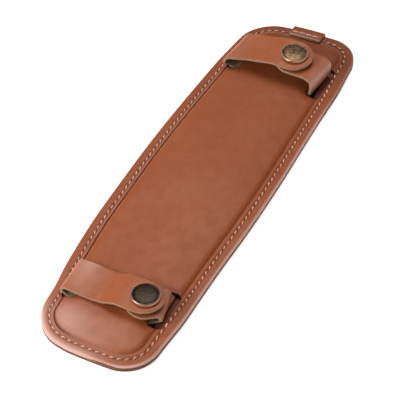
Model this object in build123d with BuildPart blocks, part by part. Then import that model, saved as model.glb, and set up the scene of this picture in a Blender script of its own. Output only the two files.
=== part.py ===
from build123d import *
import os
from dataclasses import dataclass
from math import sin, cos, radians, degrees, atan2, sqrt

# Leather comfort pad for a bag's shoulder strap, with two snap-closed loops.
# Own frame: origin on the resting plane at the middle of the underside,
# +X across the pad, +Y along it towards the end tab, +Z up. Millimetres.
# The front loop is the one at -Y, the rear loop the one at +Y.

os.makedirs("parts", exist_ok=True)

# ---------------------------------------------------------------- outline
half_len = 133.0            # centre to the middle of each end
half_wid = 37.8             # centre to the widest point of each side
end_half_wid = 31.7         # half width where side and end arcs would meet
end_corner_y = 131.6        # y of those meeting points
corner_r = 19.0             # rounded corners
stitch_inset = 4.7          # rim edge to stitch line
crease_inset = 7.7          # rim edge to the foot of the raised panel
shoulder_inset = crease_inset + 0.9     # rim edge to the break in the shoulder
panel_inset = crease_inset + 2.4        # rim edge to the flat of the panel
wall_t = 1.9                # leather thickness in the panel's shoulder
hollow_inset = crease_inset + wall_t    # rim edge to the hollow under the panel
foam_side_gap = 0.2         # wall of the hollow to the foam

# ---------------------------------------------------------------- layers
base_t = 1.8                # base leather, up from z 0
rim_top = 3.7               # top leather's rim surface
rim_edge_r = 0.9            # rounding of the rim's upper edge
panel_under = 4.25          # underside of the raised panel
panel_top = 6.0             # upper face of the raised panel
shoulder_z = 5.2            # break between the shoulder's steep and easy slopes
foam_bottom, foam_top = 1.85, 4.15
channel_floor = 2.45        # floor of the foam channel that carries each loop band
seat_gap = 0.02             # between a face and the thread or snap piece seated on it

# ---------------------------------------------------------------- slots
slot_x = 24.5               # slot centre either side of the middle
slot_w = 7.6
slot_l = 25.0
slot_r = 2.8

# ---------------------------------------------------------------- loops
strap_w = 21.0
strap_t = 1.7
front_y, rear_y = -92.8, 96.5
band_z = 3.35               # centre plane of the band under the panel
channel_l = 90.0            # foam channel, longer than the foam is wide
channel_w = strap_w + 1.6
fold_deg = 25.0             # band and layer meet this far above a fold's widest point
split_deg = 0.8             # half of the small gap where they meet
snap_gap = 2.2              # tongue's upper face to the flap's underside
layer_step = strap_t + snap_gap     # tongue's centre plane to the flap's
clear_x = 60.0              # beyond the loops in X
clear_z = 40.0              # above everything

# ---------------------------------------------------------------- snaps
cap_r = 7.5
flap_hole_r = 1.8           # cap barrel through the flap
tongue_hole_r = 2.0         # post barrel through the tongue
socket_r = 5.9
stud_r = 2.85
flange_r = 4.6              # flanges of the stud and the post
spring_r = 3.35             # split ring, axis to the middle of its wire
spring_wire_r = 0.25
spring_drop = 1.28          # socket's seat down to the middle of the wire
spring_arc = 335            # degrees of the ring that are wire

# ---------------------------------------------------------------- end tab
tab_w = 18.5
tab_in_y = 125.6            # inner edge on top of the rim
tab_under_y = tab_in_y + 0.4        # inner edge underneath
tab_t = 1.7
tab_edge_t = 1.2            # leather over the rim's edge and underneath
tab_gap = 0.06
tab_bottom = rim_top + tab_gap      # lower face of the part on top of the rim
tab_top = tab_bottom + tab_t
tab_edge_y = half_len + tab_gap     # inner face of the part round the rim's edge
tab_out_y = tab_edge_y + tab_edge_t
tab_outer_r = 1.1           # rounding of both outermost edges
tab_inner_r = 0.4           # rounding of the inner edge on top
recess_side_gap = 0.15      # base leather's recess beyond the tab, each side in X
recess_end_gap = 0.05       # and each way in Y
recess_out_y = half_len + 4

# ---------------------------------------------------------------- thread
stitch_pitch = 3.9
stitch_len = 2.9
stitch_w = 0.75
stitch_h = 0.42
stitch_clear = 1.6          # a tab side to the nearest stitch centres
groove_w = 1.3              # stitch groove in the underside
groove_d = 0.55
bobbin_z = 0.06             # underside's stitches above the resting plane
bobbin_h = groove_d - 0.10


# ================================================================ outline
def arc_radius(chord_half, sagitta):
    return (chord_half ** 2 + sagitta ** 2) / (2 * sagitta)


side_arc_r = arc_radius(end_corner_y, half_wid - end_half_wid)
end_arc_r = arc_radius(end_half_wid, half_len - end_corner_y)


def corner_point(inset):
    """Where the side and end arcs meet once both are moved in by inset."""
    side_centre_x = half_wid - side_arc_r
    end_centre_y = half_len - end_arc_r
    x, y = end_half_wid - inset, end_corner_y - inset
    for _ in range(40):     # each pass closes in on the meeting point
        x = side_centre_x + sqrt((side_arc_r - inset) ** 2 - y ** 2)
        y = end_centre_y + sqrt((end_arc_r - inset) ** 2 - x ** 2)
    return x, y


def pad_outline(inset):
    """Outline of the pad moved inwards by inset (called inside a sketch)."""
    x, y = corner_point(inset)
    side_x, end_y = half_wid - inset, half_len - inset
    with BuildLine() as lines:
        ThreePointArc((x, -y), (side_x, 0), (x, y))
        ThreePointArc((x, y), (0, end_y), (-x, y))
        ThreePointArc((-x, y), (-side_x, 0), (-x, -y))
        ThreePointArc((-x, -y), (0, -end_y), (x, -y))
    face = make_face(lines.edges())
    fillet(face.vertices(), radius=corner_r - inset)


# ================================================================ pad layers
def make_base_leather():
    """Underside layer, thinned at the +Y end where the tab turns under."""
    with BuildPart() as base:
        with BuildSketch(Plane.XY):
            pad_outline(0)
        extrude(amount=base_t)
        with BuildSketch(Plane.XY):
            with Locations((0, (tab_in_y + recess_out_y) / 2)):
                Rectangle(tab_w + 2 * recess_side_gap,
                          recess_out_y - tab_in_y + 2 * recess_end_gap)
        extrude(amount=tab_edge_t + tab_gap, mode=Mode.SUBTRACT)
        # stitch groove
        with BuildSketch(Plane.XY):
            pad_outline(stitch_inset - groove_w / 2)
            with BuildSketch(Plane.XY, mode=Mode.SUBTRACT):
                pad_outline(stitch_inset + groove_w / 2)
        extrude(amount=groove_d, mode=Mode.SUBTRACT)
    return base.part


def make_top_leather():
    """Flat rim and raised panel with sloped shoulders, hollow for the foam."""
    with BuildPart() as top:
        with BuildSketch(Plane.XY.offset(base_t)):
            pad_outline(0)
        extrude(amount=rim_top - base_t)
        fillet(top.edges().group_by(Axis.Z)[-1], radius=rim_edge_r)
        # steep slope, then easy slope
        for low_z, low_inset, high_z, high_inset in (
                (rim_top, crease_inset, shoulder_z, shoulder_inset),
                (shoulder_z, shoulder_inset, panel_top, panel_inset)):
            with BuildSketch(Plane.XY.offset(low_z)):
                pad_outline(low_inset)
            with BuildSketch(Plane.XY.offset(high_z)):
                pad_outline(high_inset)
            loft(ruled=True)
        with BuildSketch(Plane.XY.offset(base_t)):
            pad_outline(hollow_inset)
        extrude(amount=panel_under - base_t, mode=Mode.SUBTRACT)
        # a pair of slots for each loop
        for loop_y in (front_y, rear_y):
            with BuildSketch(Plane.XY.offset(base_t - 0.1)):
                with Locations((-slot_x, loop_y), (slot_x, loop_y)):
                    RectangleRounded(slot_w, slot_l, slot_r)
            extrude(amount=panel_top - base_t + 1.0, mode=Mode.SUBTRACT)
    return top.part


def make_foam_pad():
    """Foam in the raised panel, with a channel across it for each band."""
    with BuildPart() as foam:
        with BuildSketch(Plane.XY.offset(foam_bottom)):
            pad_outline(hollow_inset + foam_side_gap)
        extrude(amount=foam_top - foam_bottom)
        for loop_y in (front_y, rear_y):
            with BuildSketch(Plane.XY.offset(channel_floor)):
                with Locations((0, loop_y)):
                    Rectangle(channel_l, channel_w)
            extrude(amount=foam_top - channel_floor + 0.5, mode=Mode.SUBTRACT)
    return foam.part


def make_end_tab():
    """One strip folded round the +Y rim, from the top face to the underside."""
    with BuildPart() as tab:
        with BuildSketch(Plane.YZ.offset(-tab_w / 2)):
            with BuildLine():
                Polyline((tab_in_y, tab_bottom), (tab_in_y, tab_top),
                         (tab_out_y, tab_top), (tab_out_y, 0),
                         (tab_under_y, 0), (tab_under_y, tab_edge_t),
                         (tab_edge_y, tab_edge_t), (tab_edge_y, tab_bottom),
                         (tab_in_y, tab_bottom))
            make_face()
        extrude(amount=tab_w)
        fillet(tab.edges().filter_by(Axis.X).group_by(Axis.Y)[-1], radius=tab_outer_r)
        top_edges = tab.edges().filter_by(Axis.X).group_by(Axis.Z)[-1]
        fillet(top_edges.sort_by(Axis.Y)[0:1], radius=tab_inner_r)
    return tab.part


# ================================================================ thread
def stitch_spots():
    """Places of the stitches on the bare rim, and of those on the end tab."""
    with BuildSketch(mode=Mode.PRIVATE) as ring:
        pad_outline(stitch_inset)
    wire = ring.face().outer_wire()
    count = int(round(wire.length / stitch_pitch))
    on_rim, on_tab = [], []
    for i in range(count):
        along = (i + 0.5) / count
        centre = wire.position_at(along)
        tangent = wire.tangent_at(along)
        spot = Location((centre.X, centre.Y, 0),
                        (0, 0, degrees(atan2(tangent.Y, tangent.X))))
        # places close to the tab's sides are left without a stitch
        if centre.Y <= tab_in_y or abs(centre.X) >= tab_w / 2 + stitch_clear:
            on_rim.append(spot)
        elif abs(centre.X) < tab_w / 2 - stitch_clear:
            on_tab.append(spot)
    return on_rim, on_tab


rim_spots, tab_spots = stitch_spots()


def make_needle_thread():
    """One short length per stitch, on the rim and on the tab."""
    with BuildPart() as thread:
        for surface_z, spots in ((rim_top, rim_spots), (tab_top, tab_spots)):
            with BuildSketch(Plane.XY.offset(surface_z + seat_gap)):
                with Locations(*spots):
                    SlotOverall(stitch_len, stitch_w)
            extrude(amount=stitch_h)
    return thread.part


def make_bobbin_thread():
    """The underside's stitches, lying in the base leather's groove."""
    with BuildPart() as thread:
        with BuildSketch(Plane.XY.offset(bobbin_z)):
            with Locations(*rim_spots):
                SlotOverall(stitch_len, stitch_w)
        extrude(amount=bobbin_h)
    return thread.part


# ================================================================ loops
@dataclass
class Layer:
    """Flap or tongue: leaves a fold at one side and runs back to the snap."""
    side: int               # side of its fold: -1 at -X, 1 at +X
    fold_x: float           # centre of the fold
    fold_r: float           # fold radius at the strap's centre plane
    z: float                # centre plane at the snap
    hole_r: float
    rise: tuple = None      # x where the rise starts and ends, if there is one

    @property
    def fold_top(self):
        """Height of the centre plane at the top of the fold."""
        return band_z + 2 * self.fold_r


@dataclass
class Loop:
    y: float
    snap_x: float
    flap: Layer             # upper layer, from the left fold
    tongue: Layer           # lower layer, from the right fold


front_tongue_fold_r = 2.30
front_tongue_z = band_z + 2 * front_tongue_fold_r       # runs level off its fold
rear_tongue_z = 13.55

loops = {
    "front": Loop(
        y=front_y, snap_x=15.3,
        flap=Layer(side=-1, fold_x=-24.2, fold_r=2.65, z=front_tongue_z + layer_step,
                   hole_r=flap_hole_r, rise=(-9.0, 6.0)),
        tongue=Layer(side=1, fold_x=22.75, fold_r=front_tongue_fold_r, z=front_tongue_z,
                     hole_r=tongue_hole_r)),
    "rear": Loop(
        y=rear_y, snap_x=8.0,
        flap=Layer(side=-1, fold_x=-22.9, fold_r=4.55, z=rear_tongue_z + layer_step,
                   hole_r=flap_hole_r, rise=(-22.9, -4.0)),
        tongue=Layer(side=1, fold_x=21.6, fold_r=3.90, z=rear_tongue_z,
                     hole_r=tongue_hole_r, rise=(21.6, 12.5))),
}


def fold_point(layer, offset, angle):
    """Point on a fold, offset out from the centre plane, angle up from its widest point."""
    r = layer.fold_r + offset
    return (layer.fold_x + layer.side * r * cos(radians(angle)),
            band_z + layer.fold_r + r * sin(radians(angle)))


def rise_points(layer, offset, count=9):
    """Points on the offset of the smooth rise from the fold's top to the layer's z."""
    start_x, end_x = layer.rise
    run, climb = end_x - start_x, layer.z - layer.fold_top
    points = []
    for i in range(count):
        u = i / (count - 1)
        x = start_x + run * u
        z = layer.fold_top + climb * u * u * (3 - 2 * u)
        slope = climb * 6 * u * (1 - u) / run
        stretch = sqrt(1 + slope * slope)
        points.append((x - offset * slope / stretch, z + offset / stretch))
    return points


def layer_profile(loop, layer):
    """Side profile of a flap or tongue, from its fold to its free end."""
    half_t = strap_t / 2
    fold_x, fold_top, z = layer.fold_x, layer.fold_top, layer.z
    rise = layer.rise
    level_x = rise[1] if rise else fold_x           # start of the run at height z
    has_lead = bool(rise) and rise[0] != fold_x     # level run between fold and rise
    end_x = loop.snap_x - layer.side * strap_w / 2
    away = (-layer.side, 0)
    start = fold_deg + split_deg
    middle = (start + 90) / 2
    with BuildLine() as lines:
        # upper face, out to the free end
        ThreePointArc(fold_point(layer, half_t, start), fold_point(layer, half_t, middle),
                      (fold_x, fold_top + half_t))
        if has_lead:
            Line((fold_x, fold_top + half_t), (rise[0], fold_top + half_t))
        if rise:
            Spline(*rise_points(layer, half_t), tangents=[away, away])
        Line((level_x, z + half_t), (end_x, z + half_t))
        Line((end_x, z + half_t), (end_x, z - half_t))
        # lower face, back to the fold
        Line((end_x, z - half_t), (level_x, z - half_t))
        if rise:
            Spline(*rise_points(layer, -half_t), tangents=[away, away])
        if has_lead:
            Line((rise[0], fold_top - half_t), (fold_x, fold_top - half_t))
        ThreePointArc((fold_x, fold_top - half_t), fold_point(layer, -half_t, middle),
                      fold_point(layer, -half_t, start))
        Line(fold_point(layer, -half_t, start), fold_point(layer, half_t, start))
    make_face(lines.edges())


def band_profile(loop):
    """Side profile of the band: fold to fold, passing under the panel."""
    half_t = strap_t / 2
    left, right = loop.flap, loop.tongue
    under, over = band_z - half_t, band_z + half_t
    end = fold_deg - split_deg
    middle = (end - 90) / 2
    with BuildLine() as lines:
        ThreePointArc(fold_point(left, half_t, end), fold_point(left, half_t, middle),
                      (left.fold_x, under))
        Line((left.fold_x, under), (right.fold_x, under))
        ThreePointArc((right.fold_x, under), fold_point(right, half_t, middle),
                      fold_point(right, half_t, end))
        Line(fold_point(right, half_t, end), fold_point(right, -half_t, end))
        ThreePointArc(fold_point(right, -half_t, end), fold_point(right, -half_t, middle),
                      (right.fold_x, over))
        Line((right.fold_x, over), (left.fold_x, over))
        ThreePointArc((left.fold_x, over), fold_point(left, -half_t, middle),
                      fold_point(left, -half_t, end))
        Line(fold_point(left, -half_t, end), fold_point(left, half_t, end))
    make_face(lines.edges())


def loop_plane(loop):
    """Plane on the loop's +Y side: sketch x is +X, sketch y is +Z."""
    return Plane(origin=(0, loop.y + strap_w / 2, 0), x_dir=(1, 0, 0), z_dir=(0, -1, 0))


def make_band(loop):
    with BuildPart() as band:
        with BuildSketch(loop_plane(loop)):
            band_profile(loop)
        extrude(amount=strap_w)
    return band.part


def make_layer(loop, layer):
    """Flap or tongue with a half-round free end and a hole for the snap's barrel."""
    snap_x, y = loop.snap_x, loop.y
    with BuildPart() as leather:
        with BuildSketch(loop_plane(loop)):
            layer_profile(loop, layer)
        extrude(amount=strap_w)
        with BuildSketch(Plane.XY):
            with Locations(((snap_x + layer.side * clear_x) / 2, y)):
                Rectangle(clear_x - layer.side * snap_x, strap_w)
            with Locations((snap_x, y)):
                Circle(strap_w / 2)
        extrude(amount=clear_z, mode=Mode.INTERSECT)
        with BuildSketch(Plane.XY):
            with Locations((snap_x, y)):
                Circle(layer.hole_r)
        extrude(amount=clear_z, mode=Mode.SUBTRACT)
    return leather.part


# ================================================================ snaps
# Each piece is a half section of (radius, height above its seat) points, turned
# about the snap's axis.
def upper_seat(loop, layer):
    """Half-section plane just above the layer's upper face."""
    return snap_plane(loop, layer.z + strap_t / 2 + seat_gap)


def lower_seat(loop, layer):
    """Half-section plane just below the layer's lower face."""
    return snap_plane(loop, layer.z - strap_t / 2 - seat_gap)


def snap_plane(loop, z):
    return Plane(origin=(loop.snap_x, loop.y, z), x_dir=(1, 0, 0), z_dir=(0, -1, 0))


def snap_axis(loop):
    return Axis((loop.snap_x, loop.y, 0), (0, 0, 1))


def make_cap(loop):
    """Pressed cap: rolled rim, gently domed face, barrel through the flap."""
    lip = strap_t + 0.50        # barrel reaches through the leather into the socket
    with BuildPart() as cap:
        with BuildSketch(upper_seat(loop, loop.flap)):
            with BuildLine():
                Polyline((0, 2.3), (0, 1.5), (0.9, 1.45), (0.9, -lip), (2.25, -lip),
                         (2.25, -lip + 0.16), (1.55, -lip + 0.18), (1.55, 1.25),
                         (5.9, 1.05), (6.5, 0.0), (6.9, 0.0))
                ThreePointArc((6.9, 0.0), (7.45, 0.45), (cap_r, 1.05))
                ThreePointArc((cap_r, 1.05), (7.28, 1.72), (6.75, 1.98))
                ThreePointArc((6.75, 1.98), (6.35, 1.93), (6.12, 1.72))
                Spline((6.12, 1.72), (5.6, 1.86), (4.4, 2.05), (2.4, 2.24), (0, 2.3),
                       tangents=[(-1, 0.2), (-1, 0)])
            make_face()
        revolve(axis=snap_axis(loop), revolution_arc=360)
    return cap.part


def make_socket(loop):
    """Socket cup under the flap, clinched on the cap's barrel."""
    with BuildPart() as socket:
        with BuildSketch(lower_seat(loop, loop.flap)):
            with BuildLine():
                Polyline((1.65, 0), (5.2, 0))
                ThreePointArc((5.2, 0), (5.7, -0.2), (socket_r, -0.7))
                Polyline((socket_r, -0.7), (socket_r, -1.45), (5.5, -1.74), (3.25, -1.74),
                         (3.0, -1.66), (3.0, -1.60), (3.75, -1.57), (3.75, -0.80),
                         (3.4, -0.45), (2.5, -0.26), (1.65, -0.26), (1.65, 0))
            make_face()
        revolve(axis=snap_axis(loop), revolution_arc=360)
    return socket.part


def make_spring(loop):
    """Split ring that grips the stud, lying in the socket's groove."""
    with BuildPart() as spring:
        with BuildSketch(lower_seat(loop, loop.flap)):
            with Locations((spring_r, -spring_drop)):
                Circle(spring_wire_r)
        revolve(axis=snap_axis(loop), revolution_arc=spring_arc)
    return spring.part


def make_stud(loop):
    """Stud on the tongue: flange and grooved head that enters the socket."""
    with BuildPart() as stud:
        with BuildSketch(upper_seat(loop, loop.tongue)):
            with BuildLine():
                Polyline((1.55, 0), (flange_r, 0), (flange_r, 0.22), (4.3, 0.36),
                         (2.7, 0.40), (2.5, 0.62), (stud_r, 1.02))
                ThreePointArc((stud_r, 1.02), (2.72, 1.28), (2.1, 1.42))
                Polyline((2.1, 1.42), (1.55, 1.42), (1.55, 0))
            make_face()
        revolve(axis=snap_axis(loop), revolution_arc=360)
    return stud.part


def make_post(loop):
    """Post: flat flange under the tongue, barrel up into the stud."""
    barrel_top = strap_t + 1.50
    with BuildPart() as post:
        with BuildSketch(lower_seat(loop, loop.tongue)):
            with BuildLine():
                Polyline((0, -0.28), (4.3, -0.28), (flange_r, -0.14), (flange_r, 0),
                         (1.5, 0), (1.5, barrel_top - 0.15), (1.25, barrel_top),
                         (0.9, barrel_top), (0.9, 0.1), (0, 0.1), (0, -0.28))
            make_face()
        revolve(axis=snap_axis(loop), revolution_arc=360)
    return post.part


# ================================================================ all pieces
pieces = {
    "base_leather": make_base_leather(),
    "top_leather": make_top_leather(),
    "foam_pad": make_foam_pad(),
    "end_tab": make_end_tab(),
    "needle_thread": make_needle_thread(),
    "bobbin_thread": make_bobbin_thread(),
}
for place, loop in loops.items():
    pieces[place + "_loop_band"] = make_band(loop)
    pieces[place + "_loop_flap"] = make_layer(loop, loop.flap)
    pieces[place + "_loop_tongue"] = make_layer(loop, loop.tongue)
    pieces[place + "_snap_cap"] = make_cap(loop)
    pieces[place + "_snap_socket"] = make_socket(loop)
    pieces[place + "_snap_spring"] = make_spring(loop)
    pieces[place + "_snap_stud"] = make_stud(loop)
    pieces[place + "_snap_post"] = make_post(loop)

for name, part in pieces.items():
    part.label = name
    export_step(part, "parts/" + name + ".step")
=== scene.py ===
# A leather shoulder strap comfort pad. It lies on z = 0, long in Y and narrow in X. Its base
# leather, foam and top leather are stitched round the rim, with a small leather tab folded over
# the +Y end. At front_y and rear_y a strap runs across inside the pad and comes up through a slot
# on each side: a long flap folds over from -X and snaps onto a short tongue from +X.
# In the comments left is -X, right is +X, near is -Y and far is +Y.
import math
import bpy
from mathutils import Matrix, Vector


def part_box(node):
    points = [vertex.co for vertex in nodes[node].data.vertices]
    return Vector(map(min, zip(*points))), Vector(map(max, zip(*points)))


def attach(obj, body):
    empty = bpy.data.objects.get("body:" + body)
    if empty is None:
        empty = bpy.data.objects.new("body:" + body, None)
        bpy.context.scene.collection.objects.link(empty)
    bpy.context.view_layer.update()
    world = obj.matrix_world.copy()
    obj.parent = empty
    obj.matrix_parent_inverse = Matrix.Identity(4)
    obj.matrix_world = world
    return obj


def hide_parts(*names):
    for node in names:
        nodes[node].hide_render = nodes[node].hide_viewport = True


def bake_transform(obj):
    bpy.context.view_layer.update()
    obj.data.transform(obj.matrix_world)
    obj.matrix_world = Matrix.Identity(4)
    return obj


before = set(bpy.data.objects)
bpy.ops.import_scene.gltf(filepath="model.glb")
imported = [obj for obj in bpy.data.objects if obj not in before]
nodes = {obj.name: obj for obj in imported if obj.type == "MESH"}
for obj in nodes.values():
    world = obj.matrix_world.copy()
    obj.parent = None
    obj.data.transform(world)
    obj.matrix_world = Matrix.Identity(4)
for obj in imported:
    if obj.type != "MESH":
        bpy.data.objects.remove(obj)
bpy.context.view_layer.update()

from types import SimpleNamespace
import bmesh
import bpy
import numpy as np
from mathutils import Matrix, Vector
from mathutils.geometry import delaunay_2d_cdt

MM = 0.001          # shapes are worked out in millimetres and written to the meshes in metres
PI = math.pi
scene = bpy.context.scene


def box_mm(node):
    lo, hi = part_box(node)
    return [c / MM for c in lo], [c / MM for c in hi]


def middle_y(node):
    lo, hi = box_mm(node)
    return (lo[1] + hi[1]) / 2


# ------------------------------------------------------------------ sizes, mm
half_wid, half_len, base_top = box_mm("base_leather")[1]
end_half_wid, end_corner_y, corner_r = half_wid - 6.1, half_len - 1.4, 19.0
stitch_in, crease_in = 4.7, 7.7                     # distances in from the outline
rim_top, panel_top, panel_under = 3.7, 6.0, 4.25    # heights of the top leather
strap_w, strap_t, band_z = 21.0, 1.7, 3.35          # band_z is the band's centre height
strap_half = strap_w / 2
band_lap = 0.4                                      # how far each strap piece crosses x = 0
slot_x, slot_w, slot_l, slot_r = 24.5, 7.6, 25.0, 2.8
front_y, rear_y = middle_y("front_loop_band"), middle_y("rear_loop_band")
slots = [(sx, sy) for sy in (front_y, rear_y) for sx in (-slot_x, slot_x)]
channel_half = strap_half + 0.8                     # room for the band in the foam
tab_half, tab_in, tab_gap, tab_t, tab_low_t = 9.35, 125.55, 0.06, 1.7, 1.2

# Each loop folds at left_x (flap) and right_x (tongue) with centre line radii left_r and
# right_r. flap_z and tongue_z are centre line heights at the snap and trim shortens the flap.
# bend_half is not used.
front = SimpleNamespace(
    name="front", y=front_y, snap_x=15.3, left_x=-24.2, left_r=2.65, right_x=22.75, right_r=2.30,
    flap_z=11.85, tongue_z=7.95, trim=1.0, bend_half=1.5, flap_seed=21, tongue_seed=44)
rear = SimpleNamespace(
    name="rear", y=rear_y, snap_x=8.0, left_x=-22.9, left_r=4.55, right_x=21.6, right_r=3.90,
    flap_z=17.45, tongue_z=13.55, trim=0.3, bend_half=2.1, flap_seed=33, tongue_seed=57)


# ------------------------------------------------------------------ shaping functions
def smooth(u):
    u = np.clip(u, 0.0, 1.0)
    return u * u * (3 - 2 * u)


def rise(value, start, span):
    """0 up to start, then smoothly to 1 over span. A negative span climbs the other way."""
    return smooth((value - start) / span)


def bump(value, centre, width, power=2):
    """A bell of height 1. A higher power flattens its top."""
    return np.exp(-((value - centre) / width) ** power)


def waves(u, v, seed, size):
    """Smooth, repeatable unevenness of about +-1 with features of the given size in mm."""
    rng = np.random.RandomState(seed)
    out = np.zeros(np.broadcast(u, v).shape)
    for _ in range(9):
        angle = rng.uniform(0, 2 * PI)
        freq = 2 * PI / (size * rng.uniform(0.7, 2.0))
        out = out + np.sin(freq * (u * math.cos(angle) + v * math.sin(angle))
                           + rng.uniform(0, 2 * PI))
    return out / 4.0


# ------------------------------------------------------------------ outline
def arc_radius(chord_half, sagitta):
    return (chord_half ** 2 + sagitta ** 2) / (2 * sagitta)


# Shallow arcs along the sides and ends, joined by corner arcs that touch both.
side_R = arc_radius(end_corner_y, half_wid - end_half_wid)
end_R = arc_radius(end_half_wid, half_len - end_corner_y)
side_cx, end_cy = half_wid - side_R, half_len - end_R
cor_x, cor_y = end_half_wid - corner_r, end_corner_y - corner_r
for _ in range(60):
    cor_x = side_cx + math.sqrt((side_R - corner_r) ** 2 - cor_y ** 2)
    cor_y = end_cy + math.sqrt((end_R - corner_r) ** 2 - cor_x ** 2)
phi_s = math.atan2(cor_y, cor_x - side_cx)
phi_e = math.atan2(cor_y - end_cy, cor_x)

# centre x, centre y, radius, start angle, end angle
SEGS = [(side_cx, 0, side_R, -phi_s, phi_s),
        (cor_x, cor_y, corner_r, phi_s, phi_e),
        (0, end_cy, end_R, phi_e, PI - phi_e),
        (-cor_x, cor_y, corner_r, PI - phi_e, PI - phi_s),
        (-side_cx, 0, side_R, PI - phi_s, PI + phi_s),
        (-cor_x, -cor_y, corner_r, PI + phi_s, PI + phi_e),
        (0, -end_cy, end_R, PI + phi_e, 2 * PI - phi_e),
        (cor_x, -cor_y, corner_r, 2 * PI - phi_e, 2 * PI - phi_s)]


class Ring:
    """Points round the pad, evenly spaced on the stitch line, that slide straight in and out."""

    def __init__(self, count):
        lengths = [(s[2] - stitch_in) * (s[4] - s[3]) for s in SEGS]
        total = sum(lengths)
        at = (np.arange(count) + 0.5) * total / count
        centre, radius, phi = [], [], []
        start = 0.0
        for (cx, cy, r, phi0, phi1), length in zip(SEGS, lengths):
            here = at[(at >= start) & (at < start + length)]
            phi.append(phi0 + (here - start) / length * (phi1 - phi0))
            centre.append(np.tile([float(cx), float(cy)], (len(here), 1)))
            radius.append(np.full(len(here), r))
            start += length
        self.centre, self.radius, phi = map(np.concatenate, (centre, radius, phi))
        self.out = np.stack([np.cos(phi), np.sin(phi)], 1)

    def at(self, inset):
        return self.centre + (self.radius - inset)[:, None] * self.out


ring = Ring(1150)
fine = Ring(2300)


def inset_of(x, y):
    """How far a point lies inside the pad's outline."""
    ax, ay = np.abs(x), np.abs(y)
    from_side = side_R - np.hypot(ax - side_cx, ay)
    from_end = end_R - np.hypot(ax, ay - end_cy)
    angle = np.arctan2(ay - cor_y, ax - cor_x)
    in_corner = (ax > cor_x) & (ay > cor_y) & (angle > phi_s) & (angle < phi_e)
    return np.where(in_corner, corner_r - np.hypot(ax - cor_x, ay - cor_y),
                    np.minimum(from_side, from_end))


def within(points, inset):
    return points[inset_of(points[:, 0], points[:, 1]) > inset]


def grid(half_x, half_y, step):
    gx, gy = np.meshgrid(np.arange(-half_x, half_x + 0.1, step),
                         np.arange(-half_y, half_y + 0.1, step))
    return np.column_stack([gx.ravel(), gy.ravel()])


def lie(flat):
    """How the soft pad really lies: slightly arched, with sides and ends that aren't true."""
    p = np.array(flat, float)
    x, y = p[:, 0].copy(), p[:, 1].copy()
    # arch between the loops
    p[:, 2] += 1.3 * np.clip(1 - (y / 80.0) ** 2, 0, 1) ** 2
    # both ends drift right
    p[:, 0] += 1.0 * rise(np.abs(y), 104, 24)
    # right half: drawn far by the near loop, with a pinched slot, and near by the far loop
    p[:, 1] += 2.9 * rise(x, 2, 20) * bump(y, -94, 20)
    p[:, 1] += 1.1 * rise(x, 21, 6) * bump(y, -92, 18)
    p[:, 0] -= 0.6 * bump(x, 25, 5) * bump(y, -92, 15)
    p[:, 1] -= 1.6 * rise(x, 2, 20) * bump(y, 94, 18)
    # far end slewed, and the near left corner pulled in
    p[:, 1] += 0.08 * x * rise(y, 95, 33)
    p[:, 1] += 2.5 * np.clip((-8.0 - x) / 17.0, 0, 1.5) ** 1.2 * rise(y, -99, -26)
    # far left corner, then the left side by the near loop
    corner = rise(x, -2, -20)
    p[:, 1] -= 0.6 * corner * rise(y, 112, 18)
    p[:, 0] += 0.7 * corner * rise(y, 84, 24)
    p[:, 0] += 1.5 * rise(x, -6, -16) * bump(y, -103, 14)
    # the middle bows left, and the right edge flares beside each loop
    p[:, 0] -= 0.6 * bump(y, -52, 22) + 0.45 * rise(x, 0, 20) * bump(y, 50, 26)
    flare = 1.0 * bump(y, -98, 17) + 1.25 * bump(y, 100, 18)
    p[:, 0] += flare * rise(x, 28.5, 5)
    return p


# ------------------------------------------------------------------ slots
def slot_dist(x, y):
    """Signed distance to the nearest slot, negative inside it."""
    dists = []
    for sx, sy in slots:
        qx = np.abs(x - sx) - (slot_w / 2 - slot_r)
        qy = np.abs(y - sy) - (slot_l / 2 - slot_r)
        dists.append(np.hypot(np.maximum(qx, 0), np.maximum(qy, 0))
                     + np.minimum(np.maximum(qx, qy), 0) - slot_r)
    return np.minimum.reduce(dists)


def slot_loop(sx, sy, off, step=0.45):
    """Closed loop round a slot, off mm outside its edge, with directions into the leather."""
    r = slot_r + off
    a, b = slot_w / 2 - slot_r, slot_l / 2 - slot_r
    corners = ((a, b), (-a, b), (-a, -b), (a, -b))
    points, normals = [], []
    for turn, (cx, cy) in enumerate(corners):
        for k in range(9):
            t = math.radians(90 * turn + 90 * k / 8)
            points.append((sx + cx + r * math.cos(t), sy + cy + r * math.sin(t)))
            normals.append((math.cos(t), math.sin(t)))
        # straight run to the next corner
        nx, ny = corners[(turn + 1) % 4]
        x0, y0 = points[-1]
        dx, dy = sx + nx + r * math.cos(t) - x0, sy + ny + r * math.sin(t) - y0
        count = int(math.hypot(dx, dy) / step)
        for k in range(1, count):
            points.append((x0 + dx * k / count, y0 + dy * k / count))
            normals.append((math.cos(t), math.sin(t)))
    return np.array(points), np.array(normals)


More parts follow.
